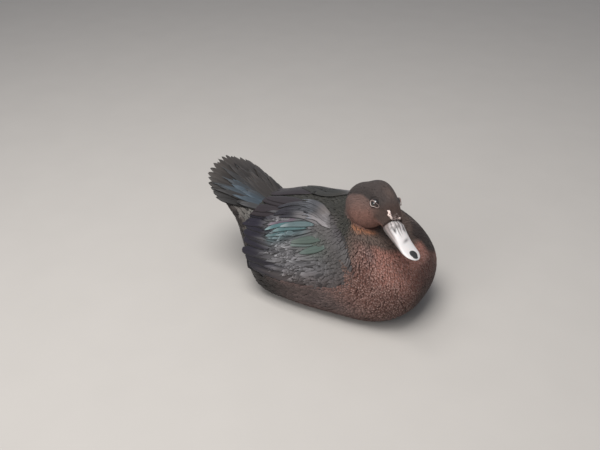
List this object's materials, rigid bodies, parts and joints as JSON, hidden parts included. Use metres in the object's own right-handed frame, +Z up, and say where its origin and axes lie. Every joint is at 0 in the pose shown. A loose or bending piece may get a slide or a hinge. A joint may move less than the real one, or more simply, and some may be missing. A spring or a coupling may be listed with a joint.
{
  "type": "duck",
  "caption": "Life-size model of a dark brown domestic duck resting on its belly with folded wings, fanned tail held up and head turned to one side.",
  "frame": {"origin": "under the middle of the bounding box, on the plane it rests on", "axes": "+X the way the breast points, +Y the duck's left, +Z up"},
  "size_m": [0.314, 0.1694, 0.1777],
  "materials": {
    "plumage_brown": "soft small feathers, chestnut brown with paler tips",
    "plumage_dark": "smooth dark grey-brown feathers with a faint purple sheen",
    "plumage_gloss": "grey-brown wing feathers, glossy blue-green on the greater coverts",
    "bill_horn": "pale pinkish horn, satin",
    "bill_nail": "dark slate horn, satin",
    "eye": "wet dark brown, glossy",
    "foot_skin": "dark scaly skin, matte"
  },
  "bodies": {
    "root": {"head": "plumage_brown", "neck": "plumage_brown", "breast": "plumage_brown", "trunk": "plumage_dark", "rump": "plumage_dark", "flight_left": "plumage_dark", "flight_right": "plumage_dark", "tail": "plumage_dark", "wing_left": "plumage_gloss", "wing_right": "plumage_gloss", "scapulars_left": "plumage_gloss", "scapulars_right": "plumage_gloss", "bill_upper": "bill_horn", "bill_lower": "bill_horn", "bill_nail": "bill_nail", "eye_left": "eye", "eye_right": "eye", "foot_left": "foot_skin", "foot_right": "foot_skin", "shank_left": "foot_skin", "shank_right": "foot_skin"}
  },
  "joints": []
}
